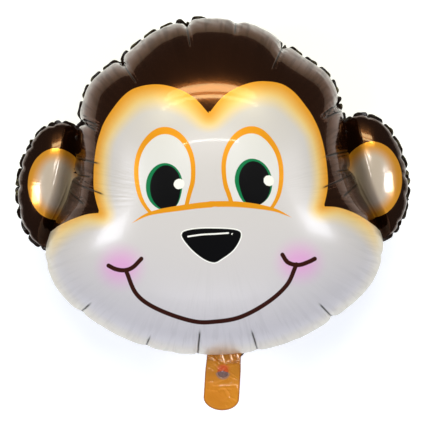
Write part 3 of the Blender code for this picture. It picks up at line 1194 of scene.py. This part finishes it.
def crease_bell(tree, shift, width):
    """1 on the creases moved sideways by shift, fading out beside them and past their ends."""
    beside = minus(tree, field(tree, "crease_side"), shift)
    past = arithmetic(tree, "DIVIDE", field(tree, "crease_past"), 3 * CREASE_WIDTH)
    return bell(tree, beside, width, squared(tree, past))


def face_print(tree, brown):
    """Colour and metal share of the head's print, from the brown film up to the last ink, with
    painted shade round the tail's root.
    """

    def stroke(prefix, length, half_width):
        return grouped(tree, "stroke", {
            "Side": field(tree, f"{prefix}_side"),
            "Along": field(tree, f"{prefix}_along"),
            "Length": length,
            "Half Width": half_width,
        })["Mask"]

    pearl = mixed(tree, step_up(tree, field(tree, "border"), *BORDER_GOLD), ORANGE_EDGE, PEACH)
    for name, reach, strength, tint in (
        ("border", BORDER_PEARL, 1.0, PEARL),
        ("edge", EDGE_CREAM, 1.0, CREAM),
        ("blush", BLUSH_FADE, BLUSH_STRENGTH, BLUSH_PINK),
        # Painted shade: beige on the chin round the tail's root
        ("tail_painted_shade", SHADE_FADE, SHADE_STRENGTH, TAIL_BEIGE),
    ):
        share = product(tree, step_up(tree, field(tree, name), *reach), strength)
        pearl = mixed(tree, share, pearl, tint)
    colour, metal = overprint(tree, brown, BROWN_METAL, inside(tree, "face"), pearl, PEARL_METAL)
    above = inside(tree, "muzzle_side")
    for name, tint, shine in (
        ("eye_rim", ORANGE, ORANGE_METAL),
        ("eye_white", EYE_PEARL, PEARL_METAL),
        ("iris", GREEN, INK_METAL),
        ("pupil", BLACK, INK_METAL),
        ("glint", WHITE, INK_METAL),
    ):
        mask = product(tree, inside(tree, name), above)
        colour, metal = overprint(tree, colour, metal, mask, tint, shine)
    way = arithmetic(tree, "ABSOLUTE", scaled_sum(tree, field(tree, "muzzle_along"), 2, -1))
    taper = minus(tree, 1, arithmetic(tree, "POWER", way, 3))
    nose_rim = step_up(tree, field(tree, "nose"), -NOSE_RIM_WIDTH, 2 * PRINT_EDGE - NOSE_RIM_WIDTH)
    for mask, tint, shine in (
        (stroke("muzzle", 1.0, product(tree, taper, MUZZLE_LINE_WIDTH / 2)), ORANGE, ORANGE_METAL),
        (nose_rim, WHITE, INK_METAL),
        (inside(tree, "nose"), BLACK, INK_METAL),
        (stroke("shine", SHINE_LENGTH, SHINE_WIDTH / 2), WHITE, INK_METAL),
        (inside(tree, "dot"), WHITE, INK_METAL),
        (stroke("smile", SMILE_LENGTH, MOUTH_WIDTH / 2), MOUTH_BROWN, INK_METAL),
        (stroke("cheek", CHEEK_LENGTH, MOUTH_WIDTH / 2), MOUTH_BROWN, INK_METAL),
    ):
        colour, metal = overprint(tree, colour, metal, mask, tint, shine)
    return colour, metal


def head_material():
    """Brown film round the printed face: painted shade darkens its pleats' valleys and its slits,
    which also take its gloss.
    """
    material, tree, shader = new_material(
        "printed_film", Coat_Roughness=0.035, Coat_IOR=1.3, Specular_IOR_Level=0.2
    )
    colour, metal = face_print(tree, brown_film(tree))
    face = inside(tree, "face")
    pleats, valley_shade = seam_pleats(tree, HEAD_PLEAT_DEPTH)
    # Painted shade in the pleats' valleys, stronger on the brown film than on the face
    dark = product(tree, valley_shade, ranged(tree, face, *VALLEY_PAINTED_SHADE))
    # The slits: near black and without gloss down the creases, painted shade
    slit = crease_bell(tree, 0.0, SLIT_WIDTH)
    matt = minus(tree, 1, arithmetic(tree, "MAXIMUM", slit, dark))
    colour = mixed(tree, dark, colour, SHADE_BLACK)
    colour, metal = overprint(tree, colour, metal, slit, SHADE_BLACK, INK_METAL)
    shift, share = CREASE_BESIDE
    grooves = scaled_sum(
        tree, crease_bell(tree, shift, CREASE_WIDTH), share, crease_bell(tree, 0.0, CREASE_WIDTH)
    )
    height = scaled_sum(tree, grooves, -CREASE_DEPTH, pleats)
    wired(
        tree,
        shader,
        Base_Color=colour,
        Metallic=metal,
        Roughness=scaled_sum(tree, face, 0.14, ranged(tree, noise(tree, 30.0), 0.12, 0.19)),
        Coat_Weight=product(tree, ranged(tree, face, *COAT_WEIGHT), matt),
        Normal=film_relief(tree, 55.0, 0.00012, 0.00004, height),
    )
    return material


def ear_material():
    """Brown film round a gold oval, with a sharp fold low beside the head."""
    material, tree, shader = new_material(
        "ear_film", Coat_Weight=1.0, Coat_Roughness=0.06, Coat_IOR=1.3
    )
    middle = step_up(tree, field(tree, "gold"), *GOLD_FADE)
    gold, shine = overprint(tree, GOLD_EDGE, GOLD_METAL, middle, GOLD_MIDDLE, CHAMPAGNE_METAL)
    # The ears' brown is darkened towards near black: painted shade
    brown = mixed(tree, EAR_PAINTED_SHADE, brown_film(tree), SHADE_BLACK)
    colour, metal = overprint(tree, brown, BROWN_METAL, inside(tree, "gold"), gold, shine)
    pleats, _ = seam_pleats(tree, EAR_PLEAT_DEPTH)
    share = arithmetic(tree, "MAXIMUM", field(tree, "fold_share"), 0)
    fold = product(tree, bell(tree, field(tree, "fold_side"), FOLD_WIDTH), share)
    wired(
        tree,
        shader,
        Base_Color=colour,
        Metallic=metal,
        Roughness=ranged(tree, noise(tree, 40.0), 0.14, 0.24),
        Normal=film_relief(tree, 70.0, 0.0002, 0.0001, scaled_sum(tree, fold, FOLD_HEIGHT, pleats)),
    )
    return material


def seam_material():
    """Welded rim: near black, which is painted shade over its brown film, ribbed by the sealing
    bar.
    """
    material, tree, shader = new_material(
        "seam_film", Metallic=0.3, Specular_IOR_Level=0.2, Coat_Weight=0.3, Coat_Roughness=0.12
    )
    cloud = noise(tree, 45.0)
    # The flange's near black and dark brown are painted shade
    dark = mixed(tree, cloud, SHADE_BLACK, SHADE_BROWN)
    pale = step_up(tree, field(tree, "face"), -0.002, 0.002)
    wired(
        tree,
        shader,
        Base_Color=mixed(tree, pale, dark, CREAM),
        Roughness=ranged(tree, cloud, 0.25, 0.45),
        Normal=film_relief(tree, 260.0, 0.0003, 0.0003),
    )
    return material


def tail_material():
    """Orange film: deeper in the weld at the edge and round the hole, with painted shade at its top
    corners, cloudy, finely crumpled.
    """
    material, tree, shader = new_material("tail_film", Coat_Roughness=0.06, Coat_IOR=2.2)
    depth, along, hole = (field(tree, name) for name in ("depth", "along", "hole"))
    body = mixed(tree, noise(tree, 22.0), TAIL_DEEP, TAIL_LIGHT)
    body = mixed(tree, step_up(tree, depth, 0.0002, 0.0030), TAIL_WELD, body)
    for mask, reach, stretch, strength, tint in (
        # Painted shade: dark brown at the edge of the sleeve's top corners, in the folds there
        (depth, (0.0030, 0.0012), (0.0065, 0.0035), 1.0, SHADE_BROWN),
        (hole, (0.006, 0.0), (0.030, 0.022), 1.0, TAIL_RED),
        (hole, (0.004, 0.001), (0.0325, 0.0345), 0.8, VALVE_GREY),
    ):
        share = product(tree, step_up(tree, mask, *reach), step_up(tree, along, *stretch))
        body = mixed(tree, product(tree, share, strength), body, tint)
    neck = step_up(tree, along, 0.022, 0.014)
    wired(
        tree,
        shader,
        Base_Color=body,
        Metallic=scaled_sum(tree, neck, 0.15, 0.2),
        Roughness=scaled_sum(tree, neck, -0.15, ranged(tree, noise(tree, 60.0), 0.3, 0.5)),
        Coat_Weight=scaled_sum(tree, neck, 0.5, 0.5),
        Normal=film_relief(tree, 150.0, 0.0005, 0.0003),
    )
    return material


def valve_material():
    """Valve film: red-orange where the sleeve lies on it, then a purple-grey tongue."""
    material, tree, shader = new_material(
        "valve_film", Metallic=0.2, Coat_Weight=1.0, Coat_Roughness=0.06
    )
    tongue = step_up(tree, field(tree, "tongue"), -0.0006, 0.0006)
    grey = mixed(tree, noise(tree, 160.0), VALVE_DARK, VALVE_GREY)
    wired(
        tree,
        shader,
        Base_Color=mixed(tree, tongue, TAIL_RED, grey),
        Roughness=ranged(tree, noise(tree, 90.0), 0.15, 0.35),
        Normal=film_relief(tree, 200.0, 0.0004, 0.0003),
    )
    return material


def floor_material():
    """Pale matt board with a faint cloud in its tone; near the balloon it glows, painted light that
    lightens the balloon's shadow on it.
    """
    material, tree, shader = new_material("floor_board", Roughness=0.9, Emission_Strength=0.5)
    places = {0: object_places(tree)}
    reach = new_node(tree, "VectorMath", places, operation="LENGTH").outputs["Value"]
    wired(
        tree,
        shader,
        Base_Color=mixed(tree, noise(tree, 3.0), BOARD_DULL, BOARD_PALE),
        Emission_Color=mixed(tree, step_up(tree, reach, *GLOW_FADE), BOARD_GLOW, NO_GLOW),
    )
    return material


# Pieces


def head_tabs(bearing):
    """How far the head's flange shows at each bearing: 1 in the zones, fading out beside them."""
    shares = []
    for first, last in HEAD_TAB_ZONES:
        outside = np.maximum(np.maximum(first - bearing, bearing - last), 0)
        shares.append(np.clip(1 - outside / ZONE_FADE, 0, 1))
    return np.max(shares, axis=0)


def build_head(material, rim):
    """Head films with the printed face, and their welded flange, printed as the film beside it."""
    pillow = film_pillow(
        "head",
        head_seam(),
        HEAD_HALF_DEPTH,
        HEAD_CELL,
        HEAD_TUCKS,
        HEAD_LIP,
        HEAD_TUCK_DEPTH,
        rests=True,
    )
    offset = (0, 0, SEAM_LEVEL)
    films = film_mesh("head_films", pillow, offset)
    calm = calm_places(films)
    store_fields(films, face_fields(sheet_places(calm)), calm[:, 2] > SEAM_LEVEL - 0.0005)
    store_pleats(films, head_seam(), offset, HEAD_HALF_DEPTH)
    link_piece("head_films", films, material, "foil_envelope")
    seam, home = seam_mesh("head_seam", pillow, offset, head_tabs, HEAD_LIP)
    store_fields(seam, {"face": outline_depth(sheet_places(home), face_outline())}, True)
    link_piece("head_seam", seam, rim, "foil_envelope")


def build_ear(side, label, material, rim):
    """One ear's films with their gold oval, and their welded rim."""
    pillow = film_pillow(
        f"ear_{label}",
        ear_seam(side),
        EAR_HALF_DEPTH,
        EAR_CELL,
        EAR_TUCKS,
        EAR_LIP,
        EAR_TUCK_DEPTH,
    )
    offset = (side * EAR_OUT, EAR_UP, SEAM_LEVEL)
    pillow = (sunk_at_head(pillow[0], offset), *pillow[1:])
    films = film_mesh(f"ear_films_{label}", pillow, offset)
    calm = calm_places(films)
    centre, size = EAR_GOLD[side]
    places = sheet_places(calm)
    outside, low = past_head(places)
    fields = {
        "gold": oval_depth(places, (centre,), size),
        "fold_side": outside - RIDGE_OUT,
        "fold_share": low,
    }
    store_fields(films, fields, calm[:, 2] > SEAM_LEVEL - 0.0005)
    store_pleats(films, ear_seam(side), offset, EAR_HALF_DEPTH)
    link_piece(f"ear_films_{label}", films, material, "foil_envelope")
    seam, home = seam_mesh(f"ear_seam_{label}", pillow, offset, np.ones_like, EAR_LIP)
    store_fields(seam, {"face": np.full(len(home), -1.0)}, True)
    link_piece(f"ear_seam_{label}", seam, rim, "foil_envelope")


# Filling tail and valve


def tail_relief(places):
    """Height of the tail's crumpled sheet: ridges exp(-(gap / width) ** 1.3) beside fold lines.

    The named folds come first; the fine ones after them lie at seeded random places. The whole
    sheet also sways along its length.
    """
    level = TAIL_SWAY * np.sin(places[:, 1] * 62 + places[:, 0] * 20)
    for x0, y0, x1, y1, height in TAIL_FOLDS:
        gap, *_ = nearest_on_path(places, np.array([(x0, y0), (x1, y1)]))
        level += height * np.exp(-((gap / TAIL_FOLD_WIDTH) ** 1.3))
    draw = np.random.default_rng(11)
    for _ in range(TAIL_FINE_FOLDS):
        x, y = draw.uniform(-0.024, 0.024), draw.uniform(-0.088, -0.006)
        turn, half = draw.uniform(-0.9, 0.9), draw.uniform(0.003, 0.009)
        span = np.array([math.cos(turn), math.sin(turn)]) * half
        gap, *_ = nearest_on_path(places, np.array([(x, y) - span, (x, y) + span]))
        fold = TAIL_FINE_HEIGHT * np.exp(-((gap / TAIL_FINE_WIDTH) ** 1.3))
        level += draw.choice([-1, 1]) * fold
    return level


def tail_outline():
    """The sleeve's edge about the tail's root: straight sides, a half-oval end, tucked corners."""
    turns = np.linspace(math.pi, 2 * math.pi, 64)
    bottom = TAIL_TOP - TAIL_LENGTH
    end = np.column_stack([
        np.cos(turns) * TAIL_WIDTH / 2,
        bottom + TAIL_END_RISE * (1 + np.sin(turns)),
    ])
    side = [
        (TAIL_WIDTH / 2, -0.030),
        (TAIL_WIDTH / 2 - 0.0010, -0.012),
        (TAIL_WIDTH / 2 - 0.0012, -0.0065),
        (TAIL_WIDTH / 2 + 0.0045, -0.0010),
        (TAIL_WIDTH / 2 + 0.0030, 0.0005),
        (TAIL_WIDTH / 2 - 0.003, TAIL_TUCK),
    ]
    return np.vstack([end, side, [(-x, y) for x, y in side[::-1]]])


def tail_places(places):
    """Places on the tail's own sheet put where the tail hangs from the chin."""
    lean = math.radians(TAIL_LEAN)
    turn = np.array([[math.cos(lean), math.sin(lean)], [-math.sin(lean), math.cos(lean)]])
    return places @ turn + np.array(TAIL_ROOT)


def ring_mesh(name, rings):
    """Closed mesh of rings of points, ended by the means of the first and of the last ring."""
    count = rings.shape[1]
    points = np.vstack([rings.reshape(-1, 3), rings[0].mean(axis=0), rings[-1].mean(axis=0)])
    step = np.arange(count)
    after = (step + 1) % count
    base = np.arange(len(rings) - 1)[:, None] * count
    quads = np.stack([base + step, base + after, base + count + after, base + count + step], axis=2)
    last = (len(rings) - 1) * count
    first_fan = np.stack([np.full(count, len(points) - 2), after, step], axis=1)
    last_fan = np.stack([np.full(count, len(points) - 1), last + step, last + after], axis=1)
    faces = quads.reshape(-1, 4).tolist() + first_fan.tolist() + last_fan.tolist()
    return closed_mesh(name, points, faces)


def build_tail():
    """Sleeve of two films welded at its edge, with a round hole in the front one.

    Rings run from the middle of the hole's floor out to its wall, up it, out over the front
    film to the edge, and back under the sheet. A film's height above the sheet's middle rises
    over the weld's outer edge, stays level across the weld, and rises again to the sleeve.
    """
    turns = np.linspace(-math.pi, math.pi, TAIL_COLUMNS, endpoint=False)
    ways = np.stack([np.cos(turns), np.sin(turns)], axis=1)
    hole = np.array([0, FILL_HOLE_UP])
    edge = tail_outline()
    sides = zip(edge, np.roll(edge, -1, axis=0))
    dense = np.vstack([np.linspace(start, stop, 24, endpoint=False) for start, stop in sides])
    bearing, away = polar(dense - hole)
    reach = seam_reach(np.array(sorted(zip(bearing, away))).T, turns)

    def ring(radius):
        return hole + ways * np.asarray(radius)[..., None]

    shares = np.concatenate([np.linspace(0, 0.9, 44), np.linspace(0.91, 1, 14)])
    radii = FILL_HOLE_RADIUS + shares[:, None] * (reach - FILL_HOLE_RADIUS)
    front = ring(radii)
    flat = front.reshape(-1, 2)
    depth = np.maximum(outline_depth(flat, edge), 0)
    weld = 0.0006 * np.clip(depth / 0.0004, 0, 1) ** 0.5
    sleeve = 0.0004 * np.clip((depth - TAIL_WELD_WIDTH) / 0.004, 0, 1)
    height = (weld + sleeve).reshape(front.shape[:2])
    height[-1] = 0
    sheet = tail_relief(flat).reshape(front.shape[:2])
    floor_radii = np.linspace(0.15, 1, 8)[:, None] * np.full(TAIL_COLUMNS, FILL_HOLE_RADIUS)
    floor = ring(floor_radii)
    floor_sheet = tail_relief(floor.reshape(-1, 2)).reshape(floor.shape[:2])

    def lifted(places, level):
        placed = tail_places(places.reshape(-1, 2)).reshape(places.shape)
        return np.concatenate([placed, (SEAM_LEVEL + level)[..., None]], axis=2)

    back_radii = np.concatenate([radii[:-1][::-1], floor_radii[::-1]])
    back = ring(back_radii)
    back_sheet = np.concatenate([sheet[:-1][::-1], floor_sheet[::-1]])
    back_height = np.concatenate([height[:-1][::-1], np.full(floor_sheet.shape, height[0].max())])
    rings = np.concatenate([
        lifted(floor, floor_sheet - 0.0006),
        lifted(front, sheet + height),
        lifted(back, back_sheet - back_height),
    ])
    mesh = ring_mesh("tail_sleeve", rings)
    flat_rings = np.concatenate([floor, front, back]).reshape(-1, 2)
    flat_rings = np.vstack([flat_rings, hole, hole])
    store_fields(mesh, {
        "depth": outline_depth(flat_rings, edge),
        "hole": np.hypot(*(flat_rings - hole).T) - FILL_HOLE_RADIUS,
        "along": -flat_rings[:, 1],
    }, True)
    link_piece("tail_sleeve", mesh, tail_material(), "filling_tail")


def build_valve():
    """Valve film seen through the hole: a thin bowed strip, its lower part a grey tongue."""
    across, along = np.meshgrid(np.linspace(-1, 1, 40), np.linspace(0, 1, 72))
    x = across * VALVE_WIDTH / 2
    y = VALVE_TOP + along * (VALVE_BOTTOM - VALVE_TOP)
    places = np.stack([x.ravel(), y.ravel()], axis=1)
    bow = 0.0007 * (1 - across**2) * np.exp(-(((y - FILL_HOLE_UP) / 0.008) ** 2))
    ripple = 0.00018 * np.sin(across * 9 + along * 21)
    sheet = tail_relief(places).reshape(x.shape) - 0.0002 + bow + ripple
    spots = tail_places(places).reshape(*x.shape, 2)
    half = VALVE_THICKNESS / 2
    front = np.concatenate([spots, (SEAM_LEVEL + sheet + half)[..., None]], axis=2)
    back = np.concatenate([spots, (SEAM_LEVEL + sheet - half)[..., None]], axis=2)
    rows, columns = x.shape
    index = np.arange(rows * columns).reshape(rows, columns)
    behind = index + rows * columns
    quads = []
    for grid in (index, behind[:, ::-1]):
        corners = [grid[:-1, :-1], grid[1:, :-1], grid[1:, 1:], grid[:-1, 1:]]
        quads.append(np.stack(corners, axis=2).reshape(-1, 4))
    rim = np.concatenate([index[0], index[1:, -1], index[-1, -2::-1], index[-2:0:-1, 0]])
    after = np.roll(rim, -1)
    quads.append(np.stack([rim, after, after + rows * columns, rim + rows * columns], axis=1))
    points = np.concatenate([front.reshape(-1, 3), back.reshape(-1, 3)])
    mesh = closed_mesh("valve_film", points, np.vstack(quads).tolist())
    tongue = FILL_HOLE_UP + 0.002 - np.abs(x) * 0.25 - y
    store_fields(mesh, {"tongue": np.tile(tongue.ravel(), 2)}, True)
    link_piece("valve_film", mesh, valve_material(), "valve_strip")


# Studio


def build_camera():
    """The photograph's view: straight down, rolled, framed on the balloon."""
    data = bpy.data.cameras.new("camera")
    data.sensor_width = 36
    data.lens = data.sensor_width * CAMERA_HEIGHT / (PHOTO_PIXELS * METRES_PER_PIXEL)
    data.clip_end = 50
    camera = bpy.data.objects.new("camera", data)
    bpy.context.scene.collection.objects.link(camera)
    across, up = FRAME_MIDDLE
    turn = CAMERA_ROLL
    camera.location = (
        across * math.cos(turn) - up * math.sin(turn),
        across * math.sin(turn) + up * math.cos(turn),
        SEAM_LEVEL + CAMERA_HEIGHT,
    )
    camera.rotation_euler = (0, 0, turn)
    bpy.context.scene.camera = camera


def softbox(
    name, bearing, height_angle, distance, width, height, watts, colour=(1, 1, 1), glossy=True
):
    """A rectangular lamp that faces the balloon from a bearing and an angle above the floor.

    One that isn't glossy lights the print but isn't mirrored in the film.
    """
    data = bpy.data.lights.new(name, "AREA")
    data.shape = "RECTANGLE"
    data.size = width
    data.size_y = height
    data.energy = watts
    data.color = colour
    lamp = bpy.data.objects.new(name, data)
    bpy.context.scene.collection.objects.link(lamp)
    b, e = math.radians(bearing), math.radians(height_angle)
    away = Vector((math.cos(b) * math.cos(e), math.sin(b) * math.cos(e), math.sin(e)))
    lamp.location = Vector((0, 0, SEAM_LEVEL)) + away * distance
    lamp.rotation_mode = "QUATERNION"
    lamp.rotation_quaternion = (-away).to_track_quat("-Z", "Y")
    lamp.visible_glossy = glossy


def build_studio():
    """Pale board under the balloon, dim white world, and soft lamps above the board."""
    floor = bpy.data.meshes.new("floor")
    reach, level = 1.6, -0.0002
    ways = ((-1, -1), (1, -1), (1, 1), (-1, 1))
    floor.from_pydata([(x * reach, y * reach, level) for x, y in ways], [], [(0, 1, 2, 3)])
    plane = bpy.data.objects.new("floor", floor)
    bpy.context.scene.collection.objects.link(plane)
    floor.materials.append(floor_material())
    world = bpy.data.worlds.new("world")
    world.use_nodes = True
    world.node_tree.nodes["Background"].inputs[0].default_value = (1, 1, 1, 1)
    world.node_tree.nodes["Background"].inputs[1].default_value = 0.115
    bpy.context.scene.world = world
    warm = (1.0, 0.93, 0.5)
    cool = (0.9, 0.94, 1.0)
    softbox("forehead_strip", 90, 52.3, 2.5, 2.0, 0.10, 12, warm)
    softbox("forehead_strip_low", 90, 46.5, 2.5, 2.0, 0.24, 22, warm)
    softbox("brow_strip", 90, 73, 2.5, 0.9, 0.03, 4)
    softbox("left_box", 180, 41, 2.4, 0.6, 0.9, 17, cool)
    softbox("right_box", 0, 43, 2.4, 0.6, 0.9, 15, cool)
    softbox("chin_box", 270, 40, 2.4, 1.6, 0.8, 24, cool, glossy=False)
    bpy.context.scene.view_settings.view_transform = "Standard"


def main():
    """The balloon with its tail and valve, and the studio round it."""
    stroke_group()
    seam_pleats_group()
    film_relief_group()
    rim = seam_material()
    build_head(head_material(), rim)
    ears = ear_material()
    build_ear(1, "right", ears, rim)
    build_ear(-1, "left", ears, rim)
    build_tail()
    build_valve()
    build_camera()
    build_studio()


main()
